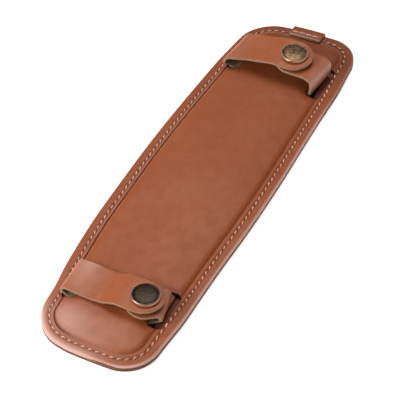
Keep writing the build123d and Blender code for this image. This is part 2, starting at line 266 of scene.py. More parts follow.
# ------------------------------------------------------------------ stitches
def read_stitches(node):
    """Centre x, y, heading and lowest z of each separate length of thread in a CAD node."""
    mesh = nodes[node].data
    co = np.array([v.co for v in mesh.vertices]) / MM
    key = {}
    idx = np.array([key.setdefault(tuple(np.round(c, 4)), len(key)) for c in co])
    parent = list(range(len(key)))

    def find(i):
        while parent[i] != i:
            parent[i] = parent[parent[i]]
            i = parent[i]
        return i

    for poly in mesh.polygons:
        first, *rest = [idx[i] for i in poly.vertices]
        for k in rest:
            a, b = find(first), find(k)
            if a != b:
                parent[a] = b
    groups = {}
    for i, c in zip(idx, co):
        groups.setdefault(find(i), []).append(c)
    stitches = []
    for group in groups.values():
        group = np.array(group)
        lo, hi = group.min(0), group.max(0)
        centre = (lo + hi) / 2
        spread = group[:, :2] - group[:, :2].mean(0)
        axis = np.linalg.eigh(spread.T @ spread)[1][:, 1]
        stitches.append((centre[0], centre[1], math.atan2(axis[1], axis[0]), lo[2]))
    stitches.sort(key=lambda s: math.atan2(s[1] / half_len, s[0] / half_wid))
    return stitches


needle = read_stitches("needle_thread")
bobbin = read_stitches("bobbin_thread")
rim_stitches = [s for s in needle if s[3] < rim_top + 0.6]
tab_stitches = [s for s in needle if s[3] >= rim_top + 0.6]


def ends_of(stitches, reach):
    return np.array([(x + side * reach * math.cos(a), y + side * reach * math.sin(a))
                     for x, y, a, _ in stitches for side in (1, -1)])


needle_ends = ends_of(rim_stitches, reach=1.2)
bobbin_ends = ends_of(bobbin, reach=1.55)


def dimples(x, y, ends, depth, radius):
    out = np.zeros(len(x))
    for s in range(0, len(x), 4000):
        part = slice(s, s + 4000)
        d2 = (x[part, None] - ends[:, 0]) ** 2 + (y[part, None] - ends[:, 1]) ** 2
        out[part] = np.exp(-d2.min(1) / radius ** 2)
    return depth * out


# ------------------------------------------------------------------ mesh tools
def triangulate(points, loops, keep):
    """Triangles over points. Edges follow the closed index loops, and keep(x, y) picks which
    triangles stay."""
    edges = [(int(a), int(b)) for lp in loops for a, b in zip(lp, np.roll(lp, -1))]
    out = delaunay_2d_cdt([Vector(p) for p in points], edges, [], 0, 1e-6, True)
    coords, faces, orig = out[0], out[2], out[3]
    back = np.full(len(coords), -1)
    all_points = [tuple(p) for p in points]
    for k, source in enumerate(orig):
        if len(source):
            back[k] = source[0]
        else:
            back[k] = len(all_points)
            all_points.append(tuple(coords[k]))
    all_points = np.array(all_points)
    tri = back[np.array(faces)]
    c = all_points[tri].mean(1)
    return all_points, tri[keep(c[:, 0], c[:, 1])]


def mesh_object(name, xyz, faces, floats, flat):
    """A closed smooth mesh from mm, with point attributes and its flat pattern position."""
    mesh = bpy.data.meshes.new(name)
    mesh.from_pydata((np.asarray(xyz) * MM).tolist(), [], faces)
    mesh.update()
    for key, val in floats.items():
        layer = mesh.attributes.new(key, "FLOAT", "POINT")
        layer.data.foreach_set("value", np.asarray(val, np.float32))
    layer = mesh.attributes.new("flat", "FLOAT_VECTOR", "POINT")
    layer.data.foreach_set("vector", np.asarray(flat, np.float32).ravel())
    mesh.polygons.foreach_set("use_smooth", np.ones(len(mesh.polygons), bool))
    ob = bpy.data.objects.new(name, mesh)
    scene.collection.objects.link(ob)
    # make every face point outwards
    bm = bmesh.new()
    bm.from_mesh(mesh)
    bmesh.ops.recalc_face_normals(bm, faces=bm.faces[:])
    bm.to_mesh(mesh)
    bm.free()
    return ob


def shell(name, points, rims, keep, top, bottom, place):
    """A closed sheet of leather or foam. top and bottom give the heights of its faces over
    (u, v), and place moves the flat sheet to where it lies. rims: list of (indices, outward
    directions, profile), where the profile steps from the top face to the bottom face as
    (outward, drop below top or None, rise above bottom)."""
    points, tri = triangulate(points, [r[0] for r in rims], keep)
    used = np.unique(tri)
    remap = np.full(len(points), -1)
    remap[used] = np.arange(len(used))
    tri = remap[tri]
    p = points[used]
    n = len(p)
    zt, zb = top(p[:, 0], p[:, 1]), bottom(p[:, 0], p[:, 1])
    a, b, c = p[tri[:, 0]], p[tri[:, 1]], p[tri[:, 2]]
    cross = ((b[:, 0] - a[:, 0]) * (c[:, 1] - a[:, 1])
             - (b[:, 1] - a[:, 1]) * (c[:, 0] - a[:, 0]))
    tri = np.where((cross < 0)[:, None], tri[:, ::-1], tri)
    verts = [np.column_stack([p, zt]), np.column_stack([p, zb])]
    edge = [np.zeros(n), np.zeros(n)]
    under = [np.zeros(n), np.ones(n)]
    faces = [tuple(f) for f in tri] + [tuple(int(i) + n for i in f[::-1]) for f in tri]
    total = 2 * n
    for idx, out, profile in rims:
        i0 = remap[idx]
        q = p[i0]
        m = len(q)
        rows = [i0]
        for outward, drop, lift in profile:
            height = zt[i0] - drop if drop is not None else zb[i0] + lift
            verts.append(np.column_stack([q + out * outward, height]))
            share = 1.0 if drop is None else min(1.0, drop / 0.35)
            edge.append(np.full(m, share * 0.9))
            under.append(np.zeros(m))
            rows.append(np.arange(total, total + m))
            total += m
        rows.append(i0 + n)
        area = np.sum(q[:, 0] * np.roll(q[:, 1], -1) - np.roll(q[:, 0], -1) * q[:, 1])
        flip = (area > 0) != (np.sum(out * (q - q.mean(0))) > 0)
        for r0, r1 in zip(rows[:-1], rows[1:]):
            for k in range(m):
                k2 = (k + 1) % m
                f = (int(r0[k]), int(r1[k]), int(r1[k2]), int(r0[k2]))
                faces.append(f[::-1] if flip else f)
    flat = np.concatenate(verts)
    floats = {"edge": np.concatenate(edge), "under": np.concatenate(under)}
    return mesh_object(name, place(flat), faces, floats, flat)


def flat_of(ob):
    flat = np.zeros(len(ob.data.vertices) * 3, np.float32)
    ob.data.attributes["flat"].data.foreach_get("vector", flat)
    return flat.reshape(-1, 3)


def tint(ob, name, fn):
    """A per-point value for the material, from the columns of the flat position."""
    values = fn(*flat_of(ob).astype(float).T)
    layer = ob.data.attributes.new(name, "FLOAT", "POINT")
    layer.data.foreach_set("value", np.asarray(values, np.float32))


def weaken(ob, name, fn):
    """Multiplies a per-point value by a factor of the flat position."""
    factor = fn(*flat_of(ob).T).astype(np.float32)
    values = np.zeros(len(ob.data.vertices), np.float32)
    ob.data.attributes[name].data.foreach_get("value", values)
    ob.data.attributes[name].data.foreach_set("value", values * factor)


# ------------------------------------------------------------------ top leather
def crown(x, y):
    """The foam's soft swell under the panel."""
    d = inset_of(x, y)
    swell = 0.75 * (1 - np.exp(-np.maximum(d - 9.5, 0) / 8.0))
    return swell + 0.10 * waves(x, y, seed=5, size=42.0) * rise(d, 10, 8)


def left_of(x, y):
    """1 along the left side and its near corner, where the crease is deepest, 0 on the right."""
    return smooth((8.0 - x - 26.0 * rise(y, -118, -16) * rise(x, -30, 22)) / 24.0)


def right_of(x):
    return rise(x, -4, 24)


def near_of(x, y):
    return rise(y, -110, -14) * rise(x, 16, -22)


def top_z(x, y):
    d = inset_of(x, y)
    left, right, near = left_of(x, y), right_of(x), near_of(x, y)
    # the outer edge rolls over, widest and lowest at the near end
    roll = 1.5 + 1.2 * near - 0.6 * right
    t = np.clip((roll - d) / roll, 0, 1)
    drop = 0.75 + 0.75 * near - 0.35 * right
    z = rim_top - drop * (1 - np.sqrt(np.maximum(1 - t * t, 0)))
    # the stitch line is sunk, with a low ridge inside it
    z = z - 0.22 * bump(d, stitch_in, 0.75) + 0.12 * bump(d, 6.2, 0.65)
    # the crease, then the wall up to the panel: steep on the left, slow on the right
    crease = 0.07 + 0.43 * left
    z = z - crease * np.where(d < crease_in, bump(d, crease_in, 0.42), 0)
    u = np.clip((d - crease_in) / 2.8, 0, 1)
    steep = np.maximum(1 - (1 - u) ** 2.25, 0) ** 0.52
    soft = np.maximum(1 - (1 - u) ** 2.0, 0)
    high = panel_top - rim_top + crease
    soft_part = 1.25
    wall = high * left * steep + (1 - left) * (
        soft_part * soft + (high - soft_part) * rise(d, crease_in, 16))
    z = np.where(d >= crease_in, rim_top - crease + wall, z)
    z = z + crown(x, y) * smooth((d - crease_in - 0.6) / 3.0)
    # dished round the slots, uneven all over and dimpled at the needle holes
    z = z - 0.45 * bump(np.maximum(slot_dist(x, y), 0), 0, 2.6) * rise(d, crease_in, 2)
    z = z + 0.05 * waves(x, y, seed=11, size=13.0) * rise(d, 1, 3)
    by_stitch = (d > 2.8) & (d < 6.6)
    holes = np.zeros(len(x))
    if by_stitch.any():
        holes[by_stitch] = dimples(x[by_stitch], y[by_stitch], needle_ends,
                                   depth=0.34, radius=0.52)
    return z - holes


def top_under(x, y):
    d = inset_of(x, y)
    z = base_top + 0.03 + (panel_under - base_top) * rise(d, 9.2, 0.9)
    return z + crown(x, y) * rise(d, 9.6, 4)


top_edge_in = 0.05      # inset of the top face's outermost points
slot_lip = 0.32         # how far the top face stops short of a slot
# insets of the rings of points, closest at the crease, and of the finer rings by the stitches
top_insets = [0.15, 0.35, 0.65, 1.05, 1.5, 2.0, 2.5, 3.1, 6.6, 6.95, 7.2, 7.4, 7.52, 7.6, 7.66,
              7.7, 7.73, 7.77, 7.83, 7.92, 8.05, 8.22, 8.45, 8.75, 9.1, 9.55, 10.1, 10.8, 11.6,
              12.5]
fine_insets = [3.6, 3.9, 4.15, 4.4, 4.6, 4.8, 5.0, 5.25, 5.5, 5.8, 6.15]
# rolled over, then tucked in where it meets the base
top_edge_profile = [(0.05, 0.22, None), (0.05, 0.38, None), (0.02, None, 0.22),
                    (-0.10, None, 0.06)]
slot_profile = [(0.16, 0.05, None), (0.27, 0.16, None), (0.32, 0.34, None), (0.32, 0.9, None),
                (0.30, None, 0.30), (0.20, None, 0.05)]


def top_points():
    points = [ring.at(top_edge_in)]
    count = len(points[0])
    rims = [(np.arange(count), ring.out, top_edge_profile)]
    for sx, sy in slots:
        p, normals = slot_loop(sx, sy, slot_lip)
        rims.append((np.arange(count, count + len(p)), -normals, slot_profile))
        around = [p] + [slot_loop(sx, sy, off, 0.55)[0] for off in (0.75, 1.3, 2.0, 2.9)]
        points += around
        count += sum(map(len, around))
    g = grid(30, 125, 1.25)
    g[:, 0] += 0.31 * np.sin(g[:, 1] * 1.7)
    rest = np.concatenate([ring.at(i) for i in top_insets] + [fine.at(i) for i in fine_insets]
                          + [within(g, 13.2)])
    points.append(rest[slot_dist(rest[:, 0], rest[:, 1]) > slot_lip + 0.12])
    return np.concatenate(points), rims


def in_top(x, y):
    return (inset_of(x, y) > top_edge_in * 0.5) & (slot_dist(x, y) > 0.2)


top = shell("top_leather_shell", *top_points(), in_top, top_z, top_under, lie)
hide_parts("top_leather")


# Painted shade on the top leather, as a per-point value
def top_painted_shade(x, y, z):
    d = inset_of(x, y)
    left = left_of(x, y)
    # painted shade in the crease, deepest along the left
    crease = (0.22 * (1 - left) * bump(d, crease_in + 0.05, 0.40)
              + 0.95 * left * bump(d, crease_in - 0.22, 0.60))
    # painted shade in the needle holes and along the stitch groove; the rim a little darker all
    # round
    holes = dimples(x, y, needle_ends, depth=0.38, radius=0.5)
    line = 0.14 * bump(d, stitch_in, 0.8)
    rim = 0.08 * rise(d, crease_in, -1)
    # painted shade round the slots
    slot = 0.6 * bump(np.maximum(slot_dist(x, y), 0), 0, 0.6)
    # painted shade, darker towards the far end
    far = 0.20 * rise(y, 98, 18) + 0.05 * rise(y, 20, 90)
    # painted shadows by the near edges of the straps: across the panel between the far slots, and
    # a patch by the near strap
    strap = 0.21 * bump(y, 86, 9, power=4) * rise(np.abs(x), 24, -8)
    strap = strap + 0.17 * bump(y, -105.5, 4) * bump(x, -3, 13)
    return np.clip(crease + holes + line + rim + slot + far + strap, 0, 1)


def top_painted_sheen(x, y, z):
    """Painted sheen and highlights on the top leather, as pale colour."""
    d = inset_of(x, y)
    right = rise(x, 6, 18) * (1 - 0.75 * rise(y, 60, 40))
    near = near_of(x, y)
    left = rise(x, -14, -14) * rise(y, -60, -50)
    # painted highlight on the outer corner of the rim, strongest on the right and at the near end
    arris = bump(d, 0.45 - 0.28 * right, 0.5 + 0.12 * right) * np.clip(
        0.78 * right + 0.36 * near + 0.30 * rise(y, -122, -8) + 0.08, 0, 0.93)
    # painted sheen on the near rim and a little on the left rim, and a painted highlight on the
    # ridge inside the left stitch line
    wide = 0.56 * near * rise(d, 3.8, -3) + 0.10 * left * rise(d, 5, -4)
    ridge = 0.16 * left_of(x, y) * bump(d, 6.35, 0.7)
    # painted sheen on the panel: a patch near its left corner, and its whole near end
    corner_sheen = 0.37 * bump(x, -17, 11) * bump(y, -119, 11) * rise(d, 8.5, 3)
    panel = (0.18 * rise(y, -104, -12) * rise(x, 30, -28)
             + 0.22 * near * rise(d, 13.5, -5) * rise(d, 8, 1.5))
    return np.clip(arris + wide + ridge + corner_sheen + panel, 0, 1)


def edge_painted_light(x, y, z):
    """Painted light and shade on the cut edge: its dark raw colour gives way to the grain colour
    at the near left, where the light falls, and along the right it stays low down, in shade, but
    not at the top.
    """
    soft = np.clip(near_of(x, y) + rise(x, -18, -12) * rise(y, 40, -60), 0, 1)
    high = rise(x, 6, 18) * rise(z, 2.4, 0.4)
    return np.where(inset_of(x, y) < 2.0, (1 - 0.85 * soft) * (1 - 0.8 * high), 1.0)


tint(top, "dark", top_painted_shade)
tint(top, "painted_sheen", top_painted_sheen)
weaken(top, "edge", edge_painted_light)


# ------------------------------------------------------------------ base leather
def base_under(x, y):
    """The underside, grooved along the stitch line and recessed under the end tab."""
    d = inset_of(x, y)
    z = 0.46 * bump(d, stitch_in, 0.62, power=4)
    z = z + 0.02 + 0.02 * waves(x, y, seed=3, size=16.0) * smooth(d / 2)
    return np.where((np.abs(x) < tab_half) & (y > tab_in), 1.27, z)


base_insets = [0.5, 1.1, 1.9, 2.8, 3.5, 6.0, 7.0, 8.4, 10.2, 12.6,
               3.85, 4.0, 4.12, 4.25, 4.45, 4.7, 4.95, 5.15, 5.28, 5.4, 5.55]
base_profile = [(0.10, 0.05, None), (0.14, 0.16, None), (0.14, None, 0.20), (0.09, None, 0.05)]


def base_points():
    points = [ring.at(0.14)]
    rims = [(np.arange(len(points[0])), ring.out, base_profile)]
    points += [ring.at(i) for i in base_insets]
    points.append(within(grid(26, 120, 2.5), 13.8))
    # paired rows either side of the tab's recess keep its step sharp
    xs = np.arange(-tab_half, tab_half + 0.01, 0.425)
    ys = np.arange(tab_in, half_len - 0.3, 0.4)
    for e in (-0.03, 0.03):
        points.append(np.column_stack([xs, np.full(len(xs), tab_in + e)]))
        for s in (-1, 1):
            points.append(np.column_stack([np.full(len(ys), s * (tab_half - e)), ys + 0.05]))
    return np.concatenate(points), rims


# Painted shade on the base: in the bobbin holes and along the stitch groove, and over its upper
# face inside the pad, seen through the slots
def base_painted_shade(x, y, z):
    d = inset_of(x, y)
    holes = dimples(x, y, bobbin_ends, depth=0.5, radius=0.5) + 0.2 * bump(d, stitch_in, 0.8)
    hollow_shade = 0.72 * (z > 1.5) * (d > 2.0)
    return np.clip(holes + hollow_shade, 0, 1)


base = shell("base_leather_sheet", *base_points(), lambda x, y: inset_of(x, y) > 0.07,
             lambda x, y: np.full(len(x), base_top) - 0.02, base_under, lie)
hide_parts("base_leather")
tint(base, "dark", base_painted_shade)


# ------------------------------------------------------------------ foam
def foam_top(x, y):
    """Swells with the panel, with a channel for each strap's band."""
    channel = (np.abs(y - front_y) < channel_half) | (np.abs(y - rear_y) < channel_half)
    return np.where(channel, 2.42, 4.08 + crown(x, y) * 0.85)


def foam_points():
    points = [ring.at(10.05)]
    rims = [(np.arange(len(points[0])), ring.out, [(0.12, 0.12, None), (0.14, None, 0.2)])]
    points += [ring.at(i) for i in (10.6, 11.6, 13.0)]
    points.append(within(grid(26, 120, 2.0), 14.0))
    xs = np.arange(-23.5, 23.6, 1.0)
    for yc in (front_y, rear_y):
        for s in (-1, 1):
            for e in (-0.08, 0.08):
                row = np.column_stack([xs, np.full(len(xs), yc + s * channel_half + e)])
                points.append(within(row, 10.7))
    return np.concatenate(points), rims


foam = shell("foam_core", *foam_points(), lambda x, y: inset_of(x, y) > 10.0,
             foam_top, lambda x, y: np.full(len(x), 1.86), lie)
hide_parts("foam_pad")
# painted shade on the foam by the slots, where it shows through them
tint(foam, "dark", lambda x, y, z: rise(slot_dist(x, y), 2.5, -1))


# ------------------------------------------------------------------ bent strips
class Path:
    """Centre line of a bent strip as dense points in its own plane. side is 1 or -1, for
    normals to the left or right of its run."""

    def __init__(self, points, side):
        p = np.array(points, float)
        seg = np.hypot(*(p[1:] - p[:-1]).T)
        p = p[np.concatenate([[True], seg > 1e-6])]
        seg = np.hypot(*(p[1:] - p[:-1]).T)
        self.points = p
        self.along = np.concatenate([[0], np.cumsum(seg)])
        self.length = self.along[-1]
        t = np.gradient(p, self.along, axis=0)
        t /= np.linalg.norm(t, axis=1)[:, None]
        # even out the small jumps in direction where pieces of the path meet
        for _ in range(6):
            t[1:-1] = (t[:-2] + 2 * t[1:-1] + t[2:]) / 4
        t /= np.linalg.norm(t, axis=1)[:, None]
        self.normals = side * np.stack([-t[:, 1], t[:, 0]], 1)

    def at(self, s, height):
        x, z = (np.interp(s, self.along, self.points[:, k]) for k in (0, 1))
        nx, nz = (np.interp(s, self.along, self.normals[:, k]) for k in (0, 1))
        size = np.hypot(nx, nz)
        return x + height * nx / size, z + height * nz / size


def circle(centre, r, count):
    a = np.arange(count) * 2 * PI / count
    return np.column_stack([centre + r * np.cos(a), r * np.sin(a)])


strip_profile = [(0.13, 0.03, None), (0.23, 0.10, None), (0.29, 0.22, None), (0.31, 0.50, None),
                 (0.29, 0.85, None), (0.31, None, 0.45), (0.28, None, 0.20), (0.20, None, 0.07),
                 (0.10, None, 0.02)]
hole_profile = [(0.10, 0.08, None), (0.12, 0.3, None), (0.12, None, 0.3), (0.10, None, 0.08)]


def strap_thick(s):
    return np.full(len(s), strap_t / 2)


def no_lift(s, v):
    return 0 * s


def strip(name, path, w, fold, place, hole=None, lift=no_lift, thick=strap_thick):
    """A strip of leather of half width w, bent along a path. (s, v) is its flat pattern: s along,
    v across. fold is (s, reach) of the finer steps. A strip with a hole (s, radius) also has
    a round end. lift and thick give its rise off the path and its half thickness."""
    length = path.length
    round_end = hole is not None
    end = length - (w if round_end else 0.0)
    steps = [0.0]
    while steps[-1] < length:
        s = steps[-1]
        steps.append(s + (0.32 if abs(s - fold[0]) < fold[1] else 1.1))
    steps = np.array(steps)
    if not round_end:
        steps = steps * (length / steps[-1])
    side = steps[steps < end - 0.2]

    # outline: s, v, outward s, outward v
    outline = [(s, -w, 0, -1) for s in side]
    if round_end:
        for k in range(45):
            a = -PI / 2 + PI * k / 44
            outline.append((end + w * math.cos(a), w * math.sin(a), math.cos(a), math.sin(a)))
    else:
        outline += [(length, v, 1, 0) for v in np.linspace(-w, w, 22)]
    outline += [(s, w, 0, 1) for s in side[::-1]]
    outline += [(0.0, v, -1, 0) for v in np.linspace(w, -w, 22)[1:-1]]
    outline = np.array(outline, float)
    out = outline[:, 2:]
    inset = 0.30

    def inner(i):
        q = outline[:, :2] - out * i
        q[:, 0] = np.maximum(q[:, 0], i)
        if not round_end:
            q[:, 0] = np.minimum(q[:, 0], length - i)
        q[:, 1] = np.clip(q[:, 1], -w + i, w - i)
        return q

    first = inner(inset)
    out = out.copy()
    corner = (first[:, 0] <= inset + 1e-6) & (np.abs(np.abs(first[:, 1]) - (w - inset)) < 1e-6)
    diagonal = out.copy()
    diagonal[corner, 0] = -0.7
    diagonal[corner, 1] = np.copysign(0.7, first[corner, 1])
    count = len(first)
    rims = [(np.arange(count), diagonal, strip_profile)]
    points = [first]
    if hole:
        hole_s, hole_r = hole
        points.append(circle(hole_s, hole_r + 0.12, 28))
        rims.append((np.arange(count, count + 28), -circle(0.0, 1.0, 28), hole_profile))
        count += 28
        for r in (2.6, 3.6, 4.8, 6.2, 7.4, 7.8, 8.3):
            points.append(circle(hole_s, r, int(2 * PI * r / 0.9)))
    points += [inner(i) for i in (0.55, 0.9, 1.5)]
    gs, gv = np.meshgrid(steps, np.linspace(-w + 2.3, w - 2.3, 15))
    gs, gv = gs.ravel(), gv.ravel()
    ok = (gs > 2.2) & (gs < length - (0 if round_end else 2.2))
    if round_end:
        ok &= (gs < end) | (np.hypot(gs - end, gv) < w - 2.2)
        ok &= np.hypot(gs - hole_s, gv) > 8.7
    points.append(np.column_stack([gs, gv])[ok])
    points = np.concatenate(points)
    # drop near-duplicates, which make slivers, but never a rim point
    _, unique = np.unique(np.round(points / 0.04).astype(int), axis=0, return_index=True)
    points = np.concatenate([points[:count], points[np.sort(unique[unique >= count])]])

    def keep(s, v):
        ok = (s > 0.01) & (np.abs(v) < w) & (s < length)
        if round_end:
            ok &= (s < end) | (np.hypot(s - end, v) < w - inset * 0.9)
            ok &= np.hypot(s - hole_s, v) > hole_r + 0.05
        return ok

    def put(flat):
        s, v, height = flat.T
        x, z = path.at(s, height + lift(s, v))
        return place(x, v, z)

    return shell(name, points, rims, keep, lambda s, v: thick(s), lambda s, v: -thick(s), put)


def arc(cx, cz, r, a0, a1, n=40):
    a = np.radians(np.linspace(a0, a1, n))
    return np.column_stack([cx + r * np.cos(a), cz + r * np.sin(a)])


def line(a, b, step=0.25):
    n = max(2, int(math.hypot(b[0] - a[0], b[1] - a[1]) / step))
    t = np.linspace(0, 1, n)[:, None]
    return np.array(a) * (1 - t) + np.array(b) * t


# ------------------------------------------------------------------ straps
def place_flap(loop, x, v, z):
    """The fold at the slot isn't square: the strap's two edges turn at different places."""
    w = v / strap_half
    at = smooth((loop.left_x + 9.0 - x) / 12.0) * rise(z, 4.6, 3)
    if loop is front:
        # it stands clear of the slot's edge below and leans out over the rim above
        low = 0.55 * (1 - w) * rise(x, -18, -5) * (1 - rise(z, 4.4, 2.2))
        over = 0.7 * smooth((loop.left_x + 7.0 - x) / 8.0) * rise(z, 4.6, 2.6)
        return np.column_stack([x + low - over - 0.25 * w * at, loop.y + v, z])
    dx = np.where(w < 0, 1.7 * w, 0.7 * w) * at
    return np.column_stack([x + dx, loop.y + v + np.minimum(w, 0) * 2.2 * at, z])


def place_tongue(loop, x, v, z):
    """The tongue's fold is slewed too, and the front one is drawn far and narrowed."""
    w = v / strap_half
    at = rise(x, 17, 8)
    if loop is front:
        far = smooth(w + 0.4)
        dx = (-0.5 - 2.2 * w) * rise(x, 15, 10) * smooth((z - 3.9 + 0.5 * far) / 2.2)
        return np.column_stack([x + dx, loop.y + 3.6 * at + v * (1 - 0.12 * at), z])
    return np.column_stack([x - 1.2 * (1 - w) * at, loop.y + v - 1.0 * at, z])


def flap_piece(loop):
    """Band from the middle to the left slot, up round the fold and over to the flap's end."""
    left_x, r = loop.left_x, loop.left_r
    cz = band_z + r
    top = cz + r
    xs = np.linspace(left_x, loop.snap_x + strap_half - loop.trim, 200)
    if loop is front:
        z = top + (loop.flap_z - top) * rise(xs, -6.5, 11) + 0.40 * bump(xs, -18, 4.5)
    else:
        step = 1.55
        z = (top + step * rise(xs, left_x, 10)
             + (loop.flap_z - top - step) * rise(xs, -13.5, 16))
    # the path turns clockwise, so the outer face is on its left
    path = Path(np.concatenate([line((band_lap, band_z), (left_x, band_z)),
                                arc(left_x, cz, r, 270, 90)[1:],
                                np.column_stack([xs, z])[1:]]), 1)
    s_fold = band_lap - left_x + r * PI / 2
    s_top = s_fold + r * PI / 2
    m = path.along > s_fold + 6
    hole = float(np.interp(0, path.points[m, 0] - loop.snap_x, path.along[m]))

    def lift(s, v):
        """Sags and waves past the fold, but lies calm and pressed round the snap."""
        w = v / strap_half
        near_edge = np.maximum(-w, 0)
        from_snap = np.hypot(s - hole, v)
        if loop is front:
            sag = -0.30 * np.abs(w) ** 2.4 + 0.40 * w * bump(s - s_top, 7, 8)
        else:
            sag = np.where(w > 0, 0.9 * w, 0.35 * w)
            sag = sag - 0.55 * near_edge ** 1.5 * rise(s - s_top, 20, 8)
            sag = sag + 0.5 * near_edge * bump(s - s_top, 12, 8)
        wave = 0.16 * waves(s, v, loop.flap_seed, size=17.0)
        calm = 1 - bump(from_snap, 0, 8.5, power=4)
        return rise(s - s_top, 1, 6) * (calm * (sag + wave) - 0.06 * bump(from_snap, 8.1, 1.1))

    return strip(loop.name + "_strap_flap", path, strap_half, (s_fold, r * PI / 2 + 1.5),
                 lambda x, v, z: place_flap(loop, x, v, z), (hole, 1.8), lift)


def tongue_piece(loop):
    """Band from the middle to the right slot, up round the fold and back to the tongue's end."""
    right_x, r = loop.right_x, loop.right_r
    x_end = loop.snap_x - strap_half
    if loop is front:
        # one half-round fold, then a short step up to the snap
        cz = band_z + r
        xs = np.linspace(right_x, x_end, 200)
        z = cz + r + (loop.tongue_z - (cz + r)) * rise(xs, 17, -1)
        turn = [line((-band_lap, band_z), (right_x, band_z)), arc(right_x, cz, r, -90, 90)[1:]]
    else:
        # two rounded corners with an upright run between them
        low, high = 2.0, 2.8
        xo = right_x + r
        top = loop.tongue_z - 0.1
        xs = np.linspace(xo - high, x_end, 200)
        z = top + 0.1 * smooth((xo - high - xs) / 5.0)
        turn = [line((-band_lap, band_z), (xo - low, band_z)),
                arc(xo - low, band_z + low, low, -90, 0)[1:],
                line((xo, band_z + low), (xo, top - high))[1:],
                arc(xo - high, top - high, high, 0, 90)[1:]]
    # the path turns anticlockwise, so the outer face is on its right
    path = Path(np.concatenate(turn + [np.column_stack([xs, z])[1:]]), -1)
    s_fold = right_x + band_lap + r * PI / 2
    s_top = s_fold + r * PI / 2 + (0.0 if loop is front else 1.5)
    m = path.along > s_top
    hole = float(np.interp(-loop.snap_x, -path.points[m, 0], path.along[m]))

    def lift(s, v):
        calm = 1 - bump(np.hypot(s - hole, v), 0, 7.5, power=4)
        wave = 0.12 * waves(s, v, loop.tongue_seed, size=15.0)
        return rise(s - s_top, 1, 5) * calm * wave

    return strip(loop.name + "_strap_tongue", path, strap_half, (s_fold, r * PI / 2 + 3.0),
                 lambda x, v, z: place_tongue(loop, x, v, z), (hole, 2.0), lift)


# Painted highlights where the straps bend over at their slots. at is the length along to the
# fold.
def flap_painted_sheen(loop):
    at = band_lap - loop.left_x + loop.left_r * PI
    if loop is front:
        return lambda s, v, h: (0.48 * bump(s, at + 3.5, 5.5) * (0.55 + 0.45 * v / strap_half)
                                + 0.10 * bump(s, at - 3.0, 3.0))
    return lambda s, v, h: 0.10 * bump(s, at + 0.5, 4.0)


def tongue_painted_sheen(loop):
    at = loop.right_x + band_lap + loop.right_r * PI * 0.80
    if loop is front:
        return lambda s, v, h: 0.22 * bump(s, at, 3.0)
    return lambda s, v, h: (0.90 * bump(s, at, 3.4) * (0.75 - 0.25 * v / strap_half)
                            + 0.25 * bump(s, at, 2.6) * bump(v, strap_half, 3.0))


straps = []
for loop in (front, rear):
    flap, tongue = flap_piece(loop), tongue_piece(loop)
    for ob, painted_sheen in ((flap, flap_painted_sheen(loop)), (tongue, tongue_painted_sheen(loop))):
        tint(ob, "dark", lambda s, v, h: 0 * s)
        tint(ob, "painted_sheen", painted_sheen)
    straps.append((loop, flap, tongue))
    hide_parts(loop.name + "_loop_flap", loop.name + "_loop_band")
    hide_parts(loop.name + "_loop_tongue")


# ------------------------------------------------------------------ end tab
def tab_piece():
    """From its inner edge on top, over the pad's far end and back underneath, where it thins."""
    y_out = half_len + 0.06 + tab_low_t / 2
    z_top, z_low = rim_top + tab_gap + tab_t / 2, tab_low_t / 2
    r_top, r_low = 1.15, 0.75
    y_in = tab_in + 0.08
    path = Path(np.concatenate([
        line((y_in, z_top), (y_out - r_top, z_top), 0.15),
        arc(y_out - r_top, z_top - r_top, r_top, 90, 0, 20)[1:],
        line((y_out, z_top - r_top), (y_out, z_low + r_low), 0.15)[1:],
        arc(y_out - r_low, z_low + r_low, r_low, 0, -90, 16)[1:],
        line((y_out - r_low, z_low), (tab_in + 0.5, z_low), 0.15)[1:]]), 1)
    s_bend = (y_out - r_top) - y_in

    def thick(s):
        return tab_t / 2 - (tab_t - tab_low_t) / 2 * smooth((s - s_bend + 0.8) / 2.5)

    return strip("end_tab_strip", path, 9.25, (s_bend + 2.5, 5.0),
                 lambda y, v, z: lie(np.column_stack([v, y, z])), thick=thick)


tab = tab_piece()
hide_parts("end_tab")
# painted shade over the whole tab, deepest in a band between its inner edge and its stitch line,
# and painted highlights along its inner edge and its stitch line
tint(tab, "dark", lambda s, v, h: 0.35 + 0.16 * bump(s, 2.1, 1.0))
tint(tab, "painted_sheen", lambda s, v, h: 0.50 * bump(s, 0.2, 0.75) + 0.22 * bump(s, 3.2, 0.6))


# ------------------------------------------------------------------ thread
def thread_run(p, radius, phase, turns=1.6, sides=10):
    """A two-ply thread along a short path, drawn in to a point at each end."""
    n = len(p)
    t = np.gradient(p, axis=0)
    t /= np.linalg.norm(t, axis=1)[:, None]
    across = np.cross(t, np.array([0, 0, 1.0]))
    across /= np.maximum(np.linalg.norm(across, axis=1)[:, None], 1e-6)
    over = np.cross(across, t)
    u = np.linspace(0, 1, n)
    taper = np.minimum(1, 0.62 + 3.0 * np.minimum(u, 1 - u))
    verts, faces = [], []
    for k in range(n):
        for j in range(sides):
            th = 2 * PI * j / sides
            ply = 1 + 0.17 * math.cos(2 * (th - turns * 2 * PI * u[k] + phase))
            r = radius * taper[k] * ply
            verts.append(p[k] + across[k] * (r * math.cos(th)) + over[k] * (r * math.sin(th)))
    for k in range(n - 1):
        a, b = k * sides, (k + 1) * sides
        for j in range(sides):
            j2 = (j + 1) % sides
            faces.append((a + j, a + j2, b + j2, b + j))
    verts += [p[0], p[-1]]
    last = (n - 1) * sides
    for j in range(sides):
        j2 = (j + 1) % sides
        faces.append((n * sides, j2, j))
        faces.append((n * sides + 1, last + j, last + j2))
    return np.array(verts), faces


